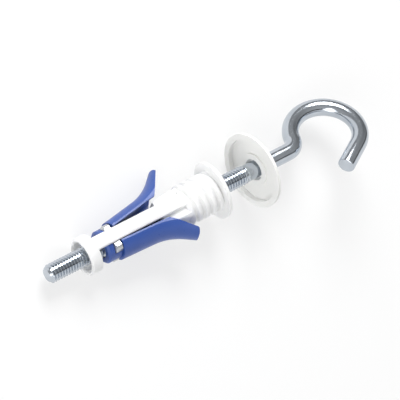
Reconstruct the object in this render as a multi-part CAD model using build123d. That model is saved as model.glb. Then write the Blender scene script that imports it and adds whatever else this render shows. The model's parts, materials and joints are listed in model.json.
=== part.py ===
from build123d import *
from math import asin, atan2, cos, degrees, radians, sin, sqrt, tan
import os

# Hollow-wall anchor for plasterboard with a round hook.
# Each piece is modelled on the bolt's axis: +X runs along the bolt to the hook, x = 0 is the
# plane where the flange meets the board, the frame's two straps are at +Z and -Z, and the
# wings are at +Y, named upper, and -Y, named lower. At the end the pieces are laid down as they
# come to rest on a table, rolled until the upper wing touches it beside the rosette's rim and
# the tip ring.

# hook bolt
wire_radius = 2.75
bolt_radius = 3.0
bolt_tip_x = -62.0
bolt_tip_chamfer = 0.9
bolt_thread_end_x = 12.5
bolt_thread_fade = 0.6
hook_centre_x = 44.0
hook_radius = 10.9
neck_bend_radius = 4.5
hook_arc_end = 59.0
hook_end_length = 10.0
hook_end_chamfer = 0.4

# nylon frame: flange, threaded sleeve, wedge, straps and tip ring in one moulding
bolt_clearance = 0.25
flange_radius = 9.35
flange_thickness = 1.2
flange_rim_round = 0.4
sleeve_length = 12.6
sleeve_root_radius = 5.6
thread_height = 1.0
thread_pitch = 2.74
thread_starts = 2
ridge_root_width = 2.1
ridge_crest_width = 1.1
ridge_foot = 0.3
thread_lead_in = 1.6
frame_radius = 6.2
strap_width = 4.3
strap_thickness = 1.35
window_length = 32.9
ring_length = 3.7
ring_wall = 1.4
ring_chamfer = 0.5
wedge_length = 8.4
wedge_tip_height = 4.1
wedge_root_height = 5.4
wedge_width = 8.2

# steel nut and the blue carrier that holds it
nut_width = 9.4
nut_corner_radius = 5.95
nut_thickness = 2.6
nut_chamfer = 0.8
nut_chamfer_angle = 30.0
nut_bore_clearance = 0.05
nut_pocket_clearance = 0.05
nut_setback = 25.0
carrier_radius = 5.3
carrier_length = 4.8
carrier_bevel = 0.6
carrier_strap_clearance = 0.1

# wings, two of the same moulding
wing_gap = 0.25
wing_hinge_clearance = 0.1
wing_strap_clearance = 0.3
wing_width = 10.8
wing_crown_wall = 2.4
wing_side_wall = 1.0
wing_bulkhead = 3.4
wing_hollow_corner = 1.0
wing_straight = 11.9
wing_bend_radius = 24.2
wing_bend_angle = 32.0
wing_tip_length = 3.4
wing_tip_corner = 3.2
wing_edge_start = 17.6
wing_edge_angle = 43.0
lower_wing_open = 2.0
upper_wing_open = 9.0

# rosette, a loose cover dish on the shank
rosette_x = 15.0
rosette_radius = 12.35
rosette_rim_width = 1.9
rosette_recess = 1.6
rosette_wall = 1.2
rosette_edge = 1.0
rosette_dome_inset = 1.0
rosette_dome_rise = 0.5
rosette_hub_rise = 0.6
rosette_hub_radius = 5.4
rosette_hole_radius = 3.55
rosette_seat_gap = 0.25

# working sizes: how far joined blocks run into each other, and how far cutting blocks reach
join_overlap = 1.0
trim_margin = 0.01
cut_reach = 40.0

# how the pieces lie at rest
rosette_lean = 8.0
frame_roll = -26.4
hook_roll = -40.4

bore_radius = bolt_radius + bolt_clearance
ring_near_x = -sleeve_length - window_length
ring_far_x = ring_near_x - ring_length
nut_front_x = -sleeve_length - nut_setback
strap_inside = frame_radius - strap_thickness
wing_rear_x = nut_front_x + wing_gap
wing_hinge_radius = carrier_radius + wing_hinge_clearance


def rod(radius, start_x, end_x):
    """A round bar on the bolt's axis between two stations."""
    return Pos(X=start_x) * extrude(Plane.YZ * Circle(radius), end_x - start_x)


def bar(start_x, end_x, width_y, width_z, middle_y=0.0, middle_z=0.0):
    """A square-cornered bar along the bolt's axis."""
    return Pos((start_x + end_x) / 2, middle_y, middle_z) * Box(end_x - start_x, width_y, width_z)


def turned(outline):
    """A solid of revolution about the bolt's axis from its half section in x and radius."""
    return revolve(make_face(Polyline(*outline, close=True)), Axis.X)


def hook_path():
    """Centre line of the shank, the neck's bend, the ring and the straight end, in the XY plane."""
    reach = hook_radius + neck_bend_radius
    bend_x = hook_centre_x - sqrt(reach ** 2 - neck_bend_radius ** 2)
    neck_angle = degrees(asin((hook_centre_x - bend_x) / reach))
    shank = Line((bolt_thread_end_x, 0), (bend_x, 0))
    neck = JernArc(shank @ 1, shank % 1, neck_bend_radius, neck_angle)
    ring = JernArc(neck @ 1, neck % 1, hook_radius, -(90 + neck_angle + hook_arc_end))
    end = Line(ring @ 1, ring @ 1 + (ring % 1) * hook_end_length)
    return Wire([shank, neck, ring, end])


def hook_bolt():
    """Thread blank with a chamfered tip, and the wire bent into a hook in one piece with it."""
    fade_x = bolt_thread_end_x + bolt_thread_fade
    thread = turned([
        (bolt_tip_x, 0),
        (bolt_tip_x, bolt_radius - bolt_tip_chamfer),
        (bolt_tip_x + bolt_tip_chamfer, bolt_radius),
        (bolt_thread_end_x, bolt_radius),
        (fade_x, wire_radius),
        (fade_x, 0),
    ])
    path = hook_path()
    wire = sweep(Plane(path @ 0, z_dir=path % 0) * Circle(wire_radius), path)
    cut_face = wire.faces().sort_by(lambda face: (face.center() - path @ 1).length)[0]
    wire = chamfer(cut_face.edges(), hook_end_chamfer)
    return thread + wire


def thread_ridge(start_angle):
    """One start of the sleeve's coarse right-hand thread, fading out towards the tip."""
    lead = thread_pitch * thread_starts
    path = Helix(lead, sleeve_length + lead, sleeve_root_radius)
    outline = Polyline(
        (-ridge_foot, -ridge_root_width / 2),
        (0, -ridge_root_width / 2),
        (thread_height, -ridge_crest_width / 2),
        (thread_height, ridge_crest_width / 2),
        (0, ridge_root_width / 2),
        (-ridge_foot, ridge_root_width / 2),
        close=True,
    )
    section = Plane(path @ 0, x_dir=(1, 0, 0), z_dir=path % 0) * make_face(outline)
    ridge = sweep(section, path, is_frenet=True)
    along_bolt = Pos(X=-sleeve_length - lead / 2) * Rot(Y=90)
    return Rot(X=start_angle) * along_bolt * ridge


def sleeve():
    """Root, flange and both thread starts, trimmed to the sleeve's envelope."""
    crest_radius = sleeve_root_radius + thread_height
    root = rod(sleeve_root_radius, -sleeve_length, 0)
    flange = rod(flange_radius, 0, flange_thickness)
    flange = fillet(flange.edges().filter_by(GeomType.CIRCLE).sort_by(Axis.X)[-1], flange_rim_round)
    envelope = turned([
        (-sleeve_length, 0),
        (-sleeve_length, sleeve_root_radius),
        (-sleeve_length + thread_lead_in, crest_radius + trim_margin),
        (flange_thickness / 2, crest_radius + trim_margin),
        (flange_thickness / 2, 0),
    ])
    ridges = [thread_ridge(360 / thread_starts * number) & envelope for number in range(thread_starts)]
    return root + flange + ridges


def tip_ring():
    """Closed ring that joins the straps at the tip and guides the bolt."""
    ring = rod(frame_radius, ring_far_x, ring_near_x)
    ring = ring - rod(frame_radius - ring_wall, ring_far_x, ring_near_x)
    tip_edges = ring.edges().filter_by(GeomType.CIRCLE).group_by(Axis.X)[0]
    return chamfer(tip_edges, ring_chamfer)


def wedge():
    """Ramps between the straps that push the wings apart, widening into the sleeve."""
    root_x = -sleeve_length
    tip_x = root_x - wedge_length
    ramp = Polyline(
        (tip_x, -wedge_tip_height),
        (root_x, -wedge_root_height),
        (root_x + join_overlap, -wedge_root_height),
        (root_x + join_overlap, wedge_root_height),
        (root_x, wedge_root_height),
        (tip_x, wedge_tip_height),
        close=True,
    )
    block = extrude(make_face(ramp), wedge_width / 2, both=True)
    return block & rod(frame_radius, tip_x, root_x + join_overlap)


def anchor_frame():
    """The whole white moulding with its bore for the bolt."""
    straps = bar(ring_near_x - ring_length / 2, -sleeve_length + join_overlap, strap_width, 2 * frame_radius)
    straps = straps & (rod(frame_radius, ring_far_x, 0))
    middle = bar(ring_far_x, -sleeve_length - wedge_length, strap_width + join_overlap, 2 * strap_inside)
    straps = straps - middle
    body = sleeve() + straps + wedge() + tip_ring()
    return body - rod(bore_radius, ring_near_x, flange_thickness)


def nut():
    """Square nut with rounded corners, chamfered on the side away from the wings."""
    rear_x = nut_front_x - nut_thickness
    blank = bar(rear_x, nut_front_x, nut_width, nut_width)
    blank = blank & turned([
        (rear_x, 0),
        (rear_x, nut_corner_radius - nut_chamfer / tan(radians(nut_chamfer_angle))),
        (rear_x + nut_chamfer, nut_corner_radius),
        (nut_front_x, nut_corner_radius),
        (nut_front_x, 0),
    ])
    return blank - rod(bolt_radius + nut_bore_clearance, rear_x, nut_front_x)


def nut_carrier():
    """Moulded block behind the wings that holds the nut, with its corners showing at windows."""
    rear_x = nut_front_x - carrier_length
    block = rod(carrier_radius, rear_x, nut_front_x)
    block = chamfer(block.edges().filter_by(GeomType.CIRCLE).sort_by(Axis.X)[0], carrier_bevel)
    block = block & bar(rear_x, nut_front_x, 2 * carrier_radius, 2 * (strap_inside - carrier_strap_clearance))
    pocket_width = nut_width + 2 * nut_pocket_clearance
    pocket_rear_x = nut_front_x - nut_thickness - nut_pocket_clearance
    block = block - bar(pocket_rear_x, nut_front_x, pocket_width, pocket_width)
    return block - rod(bore_radius, rear_x, nut_front_x)


def wing_spine(height):
    """Centre line of a surface of the closed wing that starts at the given height above the axis."""
    straight = Line((wing_rear_x, height), (wing_rear_x + wing_straight, height))
    bend = JernArc(straight @ 1, straight % 1, wing_bend_radius - height, wing_bend_angle)
    tip = Line(bend @ 1, bend @ 1 + (bend % 1) * wing_tip_length)
    return Wire([straight, bend, tip])


def wing():
    """Closed wing at +Y: an arched channel that curves outward, with a solid end at the nut."""
    path = wing_spine(0)
    section = Plane(path @ 0, x_dir=(0, 1, 0), z_dir=path % 0)
    outside = sweep(section * Circle(frame_radius), path)
    floor_height = frame_radius - wing_crown_wall
    hollow_width = wing_width - 2 * wing_side_wall
    hollow_outline = RectangleRounded(2 * floor_height, hollow_width, wing_hollow_corner)
    hollow = sweep(section * hollow_outline, path)
    edge_y = strap_width / 2 + wing_strap_clearance
    edge_x = wing_rear_x + wing_edge_start
    slope_run = cut_reach / tan(radians(wing_edge_angle))
    side = Polyline(
        (wing_rear_x, edge_y),
        (edge_x, edge_y),
        (edge_x + slope_run, edge_y + cut_reach),
        (wing_rear_x, edge_y + cut_reach),
        close=True,
    )
    side_block = extrude(make_face(side), wing_width / 2, both=True)
    bulkhead = bar(wing_rear_x, wing_rear_x + wing_bulkhead, 2 * frame_radius, wing_width)
    bulkhead = bulkhead & rod(frame_radius, wing_rear_x, wing_rear_x + wing_bulkhead)
    shell = (outside - hollow + bulkhead) & side_block
    tip_plane = Plane(path @ 1, x_dir=path % 1, z_dir=(path % 1).cross(Vector(0, 0, 1)))
    plan = Pos(X=-cut_reach / 2) * RectangleRounded(cut_reach, wing_width, wing_tip_corner)
    shell = shell & extrude(tip_plane * plan, cut_reach, both=True)
    return shell - rod(bore_radius, wing_rear_x, 0)


def open_wing(closed, side, angle):
    """The wing turned out about its hinge at the carrier; side is 1 for +Y and -1 for -Y."""
    hinge = Pos(nut_front_x, wing_hinge_radius)
    opened = hinge * Rot(Z=angle) * hinge.inverse() * closed
    return opened if side > 0 else Rot(X=180) * opened


def rosette():
    """Dished cover, hollow towards the board and domed towards the hook."""
    inner_radius = rosette_radius - rosette_rim_width
    back_x = rosette_recess + rosette_wall
    dish = make_face(Polyline(
        (0, inner_radius),
        (0, rosette_radius),
        (rosette_edge, rosette_radius),
        (back_x, inner_radius - rosette_dome_inset),
        (back_x + rosette_dome_rise, rosette_hole_radius),
        (rosette_recess - rosette_hub_rise, rosette_hole_radius),
        (rosette_recess - rosette_hub_rise, rosette_hub_radius),
        (rosette_recess, rosette_hub_radius),
        (rosette_recess, inner_radius),
        close=True,
    ))
    return revolve(dish, Axis.X)


os.makedirs("parts", exist_ok=True)
closed_wing = wing()
rosette_lift = rosette_hole_radius - bolt_radius - rosette_seat_gap
lean = radians(rosette_lean)
rosette_depth = rosette_radius * cos(lean) + rosette_edge * sin(lean) - rosette_lift
rosette_foot_x = rosette_x + rosette_edge * cos(lean) - rosette_radius * sin(lean)
pitch = degrees(atan2(rosette_depth - frame_radius, rosette_foot_x - ring_far_x - ring_chamfer))

turned_with_frame = {
    "anchor_frame": anchor_frame(),
    "nut": nut(),
    "nut_carrier": nut_carrier(),
    "wing_upper": open_wing(closed_wing, 1, upper_wing_open),
    "wing_lower": open_wing(closed_wing, -1, lower_wing_open),
}
pieces = {name: Rot(X=frame_roll) * piece for name, piece in turned_with_frame.items()}
pieces["hook_bolt"] = Rot(X=hook_roll) * hook_bolt()
pieces["rosette"] = Pos(rosette_x, 0, rosette_lift) * Rot(Y=rosette_lean) * rosette()
pieces = {name: Rot(Y=-pitch) * piece for name, piece in pieces.items()}
room = Compound(children=[Compound(piece.wrapped) for piece in pieces.values()]).bounding_box()
floor_centre = Pos(-room.center().X, -room.center().Y, -room.min.Z)
for name, piece in pieces.items():
    export_step(floor_centre * piece, f"parts/{name}.step")
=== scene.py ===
import json
import math

import bpy
from mathutils import Matrix, Vector


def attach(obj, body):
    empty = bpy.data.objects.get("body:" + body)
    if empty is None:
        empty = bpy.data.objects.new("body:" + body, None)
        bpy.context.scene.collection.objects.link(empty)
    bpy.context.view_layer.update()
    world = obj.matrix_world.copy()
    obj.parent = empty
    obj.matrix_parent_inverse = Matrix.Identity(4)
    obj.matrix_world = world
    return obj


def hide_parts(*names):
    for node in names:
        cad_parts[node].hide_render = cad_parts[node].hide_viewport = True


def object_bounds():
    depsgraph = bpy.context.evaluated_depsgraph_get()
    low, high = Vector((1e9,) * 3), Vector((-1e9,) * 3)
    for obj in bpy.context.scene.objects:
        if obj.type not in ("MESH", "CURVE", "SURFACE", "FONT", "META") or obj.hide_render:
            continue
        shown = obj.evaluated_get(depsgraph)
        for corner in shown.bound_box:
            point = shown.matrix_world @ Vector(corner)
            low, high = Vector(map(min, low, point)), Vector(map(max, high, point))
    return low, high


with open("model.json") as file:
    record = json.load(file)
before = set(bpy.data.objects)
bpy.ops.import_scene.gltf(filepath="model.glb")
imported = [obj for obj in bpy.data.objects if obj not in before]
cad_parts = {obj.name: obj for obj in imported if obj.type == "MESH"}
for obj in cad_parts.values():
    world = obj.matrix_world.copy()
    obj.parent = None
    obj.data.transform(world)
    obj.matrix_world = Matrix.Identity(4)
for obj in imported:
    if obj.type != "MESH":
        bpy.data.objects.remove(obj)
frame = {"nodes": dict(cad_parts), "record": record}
cad_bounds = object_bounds()

# ---------------------------------------------------------------------------
# Hook bolt: one zinc plated steel wire, rolled with an M6 thread and bent into
# an open round hook. Its joint in the record gives the place of its axis.
# ---------------------------------------------------------------------------
mm = 0.001
crest_radius = 3.0 * mm
root_radius = 2.42 * mm
thread_pitch = 1.0 * mm
tip_x = -61.98 * mm
tip_chamfer = 0.9 * mm
thread_end_x = 13.1 * mm
runout_length = 2.2 * mm
wire_radius = 2.73 * mm
hook_centre_x = 44.0 * mm
hook_radius = 10.9 * mm
neck_bend_radius = 4.5 * mm
hook_arc_end = math.radians(59)
hook_end_length = 9.95 * mm
hook_end_round = 0.4 * mm
hook_roll = -40.4
wire_overlap = 0.3 * mm

joints = {joint["name"]: joint for joint in frame["record"]["behaviour"]["joints"]}
board_plane = Vector(joints["bolt_turn"]["pos_m"])
to_hook = -Vector(joints["bolt_turn"]["axis"]).normalized()
pitch = math.asin(to_hook.z)


def on_the_axis(roll_deg):
    """Place of a piece drawn along +X from the board's plane, rolled about the bolt."""
    lean = Matrix.Rotation(-pitch, 4, "Y")
    roll = Matrix.Rotation(math.radians(roll_deg), 4, "X")
    return Matrix.Translation(board_plane) @ lean @ roll


def start_clean():
    """Object mode with nothing selected, so the next operator acts on its own piece only."""
    if bpy.context.object and bpy.context.object.mode != "OBJECT":
        bpy.ops.object.mode_set(mode="OBJECT")
    bpy.ops.object.select_all(action="DESELECT")


def surface_detail_group():
    """Slow blotches of tone, and a fine grain that breaks up the highlights."""
    group = bpy.data.node_groups.new("surface_detail", "ShaderNodeTree")
    face = group.interface
    face.new_socket("Blotch Scale", in_out="INPUT", socket_type="NodeSocketFloat")
    face.new_socket("Grain Scale", in_out="INPUT", socket_type="NodeSocketFloat")
    face.new_socket("Blotch", in_out="OUTPUT", socket_type="NodeSocketFloat")
    face.new_socket("Grain", in_out="OUTPUT", socket_type="NodeSocketFloat")
    nodes, links = group.nodes, group.links
    entry = nodes.new("NodeGroupInput")
    leave = nodes.new("NodeGroupOutput")
    place = nodes.new("ShaderNodeTexCoord")
    for scale_name, out_name, detail in (("Blotch Scale", "Blotch", 3), ("Grain Scale", "Grain", 6)):
        noise = nodes.new("ShaderNodeTexNoise")
        noise.inputs["Detail"].default_value = detail
        links.new(place.outputs["Object"], noise.inputs["Vector"])
        links.new(entry.outputs[scale_name], noise.inputs["Scale"])
        links.new(noise.outputs["Fac"], leave.inputs[out_name])
    return group


surface_detail = surface_detail_group()


def finish(name, dark, light, rough, blotch_scale, grain_scale, bump, metallic=0.0, specular=0.5):
    """A finish whose colour and roughness drift over the surface, with a fine grained bump."""
    material = bpy.data.materials.new(name)
    material.use_nodes = True
    nodes, links = material.node_tree.nodes, material.node_tree.links
    shader = nodes["Principled BSDF"]
    shader.inputs["Metallic"].default_value = metallic
    shader.inputs["Specular IOR Level"].default_value = specular
    detail = nodes.new("ShaderNodeGroup")
    detail.node_tree = surface_detail
    detail.inputs["Blotch Scale"].default_value = blotch_scale
    detail.inputs["Grain Scale"].default_value = grain_scale
    tone = nodes.new("ShaderNodeMix")
    tone.data_type = "RGBA"
    tone.inputs["A"].default_value = (*dark, 1)
    tone.inputs["B"].default_value = (*light, 1)
    links.new(detail.outputs["Blotch"], tone.inputs["Factor"])
    links.new(tone.outputs["Result"], shader.inputs["Base Color"])
    gloss = nodes.new("ShaderNodeMapRange")
    gloss.inputs["From Min"].default_value = 0.3
    gloss.inputs["From Max"].default_value = 0.7
    gloss.inputs["To Min"].default_value = rough * 0.8
    gloss.inputs["To Max"].default_value = rough * 1.25
    links.new(detail.outputs["Grain"], gloss.inputs["Value"])
    links.new(gloss.outputs["Result"], shader.inputs["Roughness"])
    relief = nodes.new("ShaderNodeBump")
    relief.inputs["Strength"].default_value = bump
    relief.inputs["Distance"].default_value = 0.05 * mm
    links.new(detail.outputs["Grain"], relief.inputs["Height"])
    links.new(relief.outputs["Normal"], shader.inputs["Normal"])
    return material


zinc = finish("zinc_plate", (0.42, 0.46, 0.51), (0.62, 0.66, 0.71), 0.16, 180, 1500, 0.06, metallic=1.0)

start_clean()
bpy.ops.mesh.primitive_circle_add(vertices=8, radius=crest_radius, location=(0, 0, 0))
threaded = bpy.context.object
rib = (
    (root_radius, 0.00),
    (root_radius, 0.14),
    (crest_radius - 0.10 * mm, 0.42),
    (crest_radius, 0.48),
    (crest_radius, 0.58),
    (crest_radius - 0.10 * mm, 0.64),
    (root_radius, 0.92),
    (root_radius, 1.00),
)
for corner, (radius, share) in zip(threaded.data.vertices, rib):
    corner.co = (radius, 0, share * thread_pitch)
bpy.ops.object.mode_set(mode="EDIT")
bpy.ops.mesh.select_mode(type="EDGE")
bpy.ops.mesh.select_all(action="DESELECT")
bpy.ops.object.mode_set(mode="OBJECT")
for edge in threaded.data.edges:
    edge.select = abs(edge.vertices[0] - edge.vertices[1]) > 1
bpy.ops.object.mode_set(mode="EDIT")
bpy.ops.mesh.delete(type="EDGE")
bpy.ops.object.mode_set(mode="OBJECT")
winding = threaded.modifiers.new("winding", "SCREW")
winding.screw_offset = thread_pitch
winding.iterations = math.ceil((thread_end_x - tip_x) / thread_pitch) + 3
winding.steps = winding.render_steps = 36
winding.use_merge_vertices = True
winding.merge_threshold = 0.001 * mm
bpy.ops.object.modifier_apply(modifier="winding")
upright_to_axis = Matrix.Rotation(math.radians(90), 4, "Y")
threaded.data.transform(Matrix.Translation((tip_x - 1.5 * thread_pitch, 0, 0)) @ upright_to_axis)
bpy.ops.object.mode_set(mode="EDIT")
bpy.ops.mesh.select_all(action="SELECT")
bpy.ops.mesh.remove_doubles(threshold=0.001 * mm)
for plane_x, outer in ((tip_x, False), (thread_end_x, True)):
    bpy.ops.mesh.select_all(action="SELECT")
    bpy.ops.mesh.bisect(
        plane_co=(plane_x, 0, 0),
        plane_no=(1, 0, 0),
        clear_inner=not outer,
        clear_outer=outer,
        threshold=0.0001 * mm,
    )
bpy.ops.mesh.select_all(action="SELECT")
bpy.ops.mesh.fill_holes(sides=0)
bpy.ops.object.mode_set(mode="OBJECT")
for corner in threaded.data.vertices:
    radius = math.hypot(corner.co.y, corner.co.z)
    taper = crest_radius - tip_chamfer + (corner.co.x - tip_x)
    fade = min(max((thread_end_x - corner.co.x) / runout_length, 0), 1)
    wanted = min(radius, taper) if corner.co.x < 0 else wire_radius + (radius - wire_radius) * fade
    if radius > 0:
        corner.co.y *= wanted / radius
        corner.co.z *= wanted / radius

# the wire: a ring of points drawn along the shank, turned round the neck and
# the hook, and drawn out straight to the sawn end; spin turns clockwise
start_clean()
bpy.ops.mesh.primitive_circle_add(
    vertices=36, radius=wire_radius, fill_type="NGON", rotation=(0, math.radians(90), 0)
)
wire = bpy.context.object
bpy.ops.object.transform_apply(location=False, rotation=True, scale=False)
wire.data.transform(Matrix.Translation((thread_end_x - wire_overlap, 0, 0)))
reach = hook_radius + neck_bend_radius
bend_x = hook_centre_x - math.sqrt(reach**2 - neck_bend_radius**2)
neck_angle = math.asin((hook_centre_x - bend_x) / reach)
bend_centre = (bend_x, neck_bend_radius, 0)
ring_angle = math.radians(90) + neck_angle + hook_arc_end
bpy.ops.object.mode_set(mode="EDIT")
bpy.ops.mesh.select_all(action="SELECT")
shank_run = (bend_x - thread_end_x + wire_overlap, 0, 0)
bpy.ops.mesh.extrude_region_move(TRANSFORM_OT_translate={"value": shank_run})
bpy.ops.mesh.spin(steps=16, angle=neck_angle, center=bend_centre, axis=(0, 0, -1))
bpy.ops.mesh.spin(steps=64, angle=ring_angle, center=(hook_centre_x, 0, 0), axis=(0, 0, 1))
heading = neck_angle - ring_angle
end_run = (hook_end_length * math.cos(heading), hook_end_length * math.sin(heading), 0)
bpy.ops.mesh.extrude_region_move(TRANSFORM_OT_translate={"value": end_run})
bpy.ops.mesh.bevel(offset=hook_end_round, segments=3, affect="EDGES")
bpy.ops.mesh.select_all(action="SELECT")
bpy.ops.mesh.remove_doubles(threshold=0.001 * mm)
bpy.ops.mesh.normals_make_consistent(inside=False)
bpy.ops.object.mode_set(mode="OBJECT")

start_clean()
threaded.select_set(True)
wire.select_set(True)
bpy.context.view_layer.objects.active = threaded
bpy.ops.object.join()
hook_wire = bpy.context.object
hook_wire.name = "threaded_hook"
bpy.ops.object.mode_set(mode="EDIT")
bpy.ops.mesh.select_all(action="SELECT")
bpy.ops.mesh.normals_make_consistent(inside=False)
bpy.ops.object.mode_set(mode="OBJECT")
bpy.ops.object.shade_smooth_by_angle(angle=math.radians(32))
hook_wire.data.transform(on_the_axis(hook_roll))
hook_wire.data.materials.clear()
hook_wire.data.materials.append(zinc)
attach(hook_wire, "bolt")
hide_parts("hook_bolt")

# ---------------------------------------------------------------------------
# Anchor frame: one moulding in white nylon, with the flange, the two-start
# sleeve thread, the wedge, both straps and the ring that leads at the tip.
# ---------------------------------------------------------------------------
def dress(node, material):
    """Gives a node from the frame its finish."""
    for holder in frame["nodes"][node].material_slots:
        holder.material = material


nylon = finish("white_nylon", (0.86, 0.865, 0.86), (0.93, 0.93, 0.925), 0.38, 90, 1500, 0.12)
nylon_shader = nylon.node_tree.nodes["Principled BSDF"]
nylon_shader.inputs["Subsurface Weight"].default_value = 0.6
nylon_shader.inputs["Subsurface Radius"].default_value = (1.0, 1.0, 0.95)
nylon_shader.inputs["Subsurface Scale"].default_value = 3.0 * mm
dress("anchor_frame", nylon)

# ---------------------------------------------------------------------------
# Nut: a square pressed steel nut with rounded corners, zinc plated duller
# than the bolt, held in its carrier and seen only at the corners.
# ---------------------------------------------------------------------------
nut_steel = finish("nut_zinc", (0.50, 0.52, 0.53), (0.68, 0.70, 0.71), 0.34, 320, 2400, 0.3, metallic=1.0)
dress("nut", nut_steel)

# ---------------------------------------------------------------------------
# Wings and nut carrier: satin blue mouldings that hinge apart behind the
# board as the nut draws them up against the wedge.
# ---------------------------------------------------------------------------
blue = finish("blue_moulding", (0.026, 0.072, 0.30), (0.042, 0.104, 0.40), 0.34, 110, 1300, 0.18)
for piece in ("nut_carrier", "wing_upper", "wing_lower"):
    dress(piece, blue)

# ---------------------------------------------------------------------------
# Rosette: a loose cover dish on the shank, moulded in a warm off-white.
# ---------------------------------------------------------------------------
cream = finish("cream_moulding", (0.88, 0.88, 0.86), (0.94, 0.94, 0.92), 0.42, 80, 1400, 0.12)
dress("rosette", cream)

# ---------------------------------------------------------------------------
# Table: a plain white sheet that keeps the soft shadows. To the eye and in
# reflections it runs on into the same white as the room.
# ---------------------------------------------------------------------------
start_clean()
bpy.ops.mesh.primitive_grid_add(x_subdivisions=4, y_subdivisions=4, size=6)
table = bpy.context.object
table.name = "table"
sheet = bpy.data.materials.new("white_sheet")
sheet.use_nodes = True
nodes, links = sheet.node_tree.nodes, sheet.node_tree.links
nodes.clear()
paper = nodes.new("ShaderNodeBsdfDiffuse")
paper.inputs["Color"].default_value = (0.90, 0.90, 0.90, 1)
glow = nodes.new("ShaderNodeEmission")
glow.inputs["Strength"].default_value = 1.0
seen = nodes.new("ShaderNodeLightPath")
mirrored = nodes.new("ShaderNodeMath")
mirrored.operation = "MAXIMUM"
looked_at = nodes.new("ShaderNodeMath")
looked_at.operation = "MAXIMUM"
share = nodes.new("ShaderNodeMath")
share.operation = "MULTIPLY"
share.inputs[1].default_value = 0.62
blend = nodes.new("ShaderNodeMixShader")
top = nodes.new("ShaderNodeOutputMaterial")
links.new(seen.outputs["Is Glossy Ray"], mirrored.inputs[0])
links.new(seen.outputs["Is Transmission Ray"], mirrored.inputs[1])
links.new(seen.outputs["Is Camera Ray"], looked_at.inputs[0])
links.new(mirrored.outputs["Value"], looked_at.inputs[1])
links.new(looked_at.outputs["Value"], share.inputs[0])
links.new(share.outputs["Value"], blend.inputs["Fac"])
links.new(paper.outputs["BSDF"], blend.inputs[1])
links.new(glow.outputs["Emission"], blend.inputs[2])
links.new(blend.outputs["Shader"], top.inputs["Surface"])
table.data.materials.append(sheet)

# ---------------------------------------------------------------------------
# Light: a large soft window from the upper right behind, a broad weak fill
# from the front left, and an even pale room.
# ---------------------------------------------------------------------------
middle = (cad_bounds[0] + cad_bounds[1]) / 2
# the piece lies rolled onto a wing, so the cards and the lens turn with it about the bolt
roll_onto_wing = math.radians(-53.4)
rolled = Matrix.Rotation(roll_onto_wing, 4, to_hook)


def soft_lamp(name, place, size, power):
    """A square lamp that faces the middle of the piece."""
    data = bpy.data.lights.new(name, "AREA")
    data.size = size
    data.energy = power
    lamp = bpy.data.objects.new(name, data)
    bpy.context.collection.objects.link(lamp)
    lamp.location = middle + Vector(place)
    lamp.rotation_euler = (-Vector(place)).to_track_quat("-Z", "Y").to_euler()
    return lamp


soft_lamp("window", (0.12, 0.56, 0.50), 0.36, 4.8)
soft_lamp("fill", (-0.62, -0.22, 0.46), 0.60, 2.8)

# reflection cards that only glossy rays see: a low black band all round draws
# the dark lines along the bright wire, a tall grey wall behind it, darkest on
# the far side, gives the plating its depth, and a canopy greys its upper side
def reflection_card(name, radius, top_radius, low, high, far_level, near_level):
    """An open drum about the piece whose glow rises from the far side to the near side."""
    start_clean()
    bpy.ops.mesh.primitive_cone_add(
        vertices=96, radius1=radius, radius2=top_radius, depth=high - low, end_fill_type="NOTHING"
    )
    bpy.ops.transform.translate(value=(0, 0, (low + high) / 2))
    card = bpy.context.object
    card.name = name
    bpy.ops.object.transform_apply(location=True)
    card.data.transform(rolled)
    surface = bpy.data.materials.new(name)
    surface.use_nodes = True
    nodes, links = surface.node_tree.nodes, surface.node_tree.links
    nodes.clear()
    place = nodes.new("ShaderNodeTexCoord")
    along_view = nodes.new("ShaderNodeVectorMath")
    along_view.operation = "DOT_PRODUCT"
    along_view.inputs[1].default_value = rolled @ Vector((math.sin(turn), math.cos(turn), 0))
    shade = nodes.new("ShaderNodeMapRange")
    shade.inputs["From Min"].default_value = -radius
    shade.inputs["From Max"].default_value = radius
    shade.inputs["To Min"].default_value = near_level
    shade.inputs["To Max"].default_value = far_level
    glow = nodes.new("ShaderNodeEmission")
    top = nodes.new("ShaderNodeOutputMaterial")
    links.new(place.outputs["Object"], along_view.inputs[0])
    links.new(along_view.outputs["Value"], shade.inputs["Value"])
    links.new(shade.outputs["Result"], glow.inputs["Strength"])
    links.new(glow.outputs["Emission"], top.inputs["Surface"])
    card.data.materials.append(surface)
    card.visible_camera = False
    card.visible_diffuse = False
    card.visible_transmission = False
    card.visible_volume_scatter = False
    card.visible_shadow = False


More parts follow.
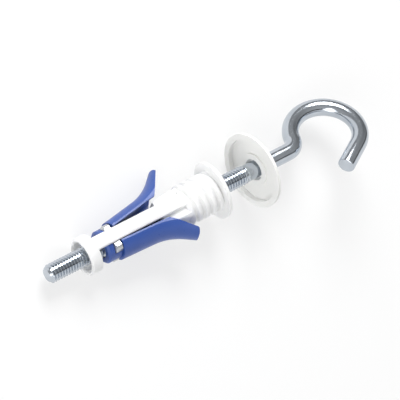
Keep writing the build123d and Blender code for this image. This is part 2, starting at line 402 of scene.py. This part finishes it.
turn = math.radians(36.08)
reflection_card("low_card", 1.6, 1.6, 0.0, 0.34, 0.03, 0.02)
reflection_card("wall_card", 1.6, 1.6, 0.34, 1.75, 0.18, 0.55)
reflection_card("canopy_card", 1.6, 0.45, 1.75, 2.0, 0.30, 0.42)

room = bpy.data.worlds.new("room")
room.use_nodes = True
bpy.context.scene.world = room
nodes, links = room.node_tree.nodes, room.node_tree.links
air = nodes["Background"]
air.inputs["Color"].default_value = (1, 1, 1, 1)
seen = nodes.new("ShaderNodeLightPath")
mirrored = nodes.new("ShaderNodeMath")
mirrored.operation = "MAXIMUM"
looked_at = nodes.new("ShaderNodeMath")
looked_at.operation = "MAXIMUM"
level = nodes.new("ShaderNodeMapRange")
level.inputs["To Min"].default_value = 0.43
level.inputs["To Max"].default_value = 1.0
links.new(seen.outputs["Is Glossy Ray"], mirrored.inputs[0])
links.new(seen.outputs["Is Transmission Ray"], mirrored.inputs[1])
links.new(seen.outputs["Is Camera Ray"], looked_at.inputs[0])
links.new(mirrored.outputs["Value"], looked_at.inputs[1])
links.new(looked_at.outputs["Value"], level.inputs["Value"])
links.new(level.outputs["Result"], air.inputs["Strength"])

# ---------------------------------------------------------------------------
# Camera: a long lens over the tip's side, looking down on the table.
# ---------------------------------------------------------------------------
tilt = math.radians(35.0)
distance = 1.4
level_heading = Vector((math.sin(turn), math.cos(turn), 0))
looking = rolled @ (level_heading * math.cos(tilt) - Vector((0, 0, math.sin(tilt))))
sideways = rolled @ Vector((math.cos(turn), -math.sin(turn), 0))
upwards = sideways.cross(looking)
aim = board_plane - sideways * 3.67 * mm - upwards * 2.78 * mm - looking * 1.83 * mm
lens = bpy.data.cameras.new("long_lens")
lens.sensor_width = 36
lens.lens = 409.9
camera = bpy.data.objects.new("camera", lens)
bpy.context.collection.objects.link(camera)
camera.location = aim - looking * distance
camera.rotation_euler = Matrix((sideways, upwards, -looking)).transposed().to_euler()
bpy.context.scene.camera = camera
bpy.context.scene.view_settings.view_transform = "Standard"
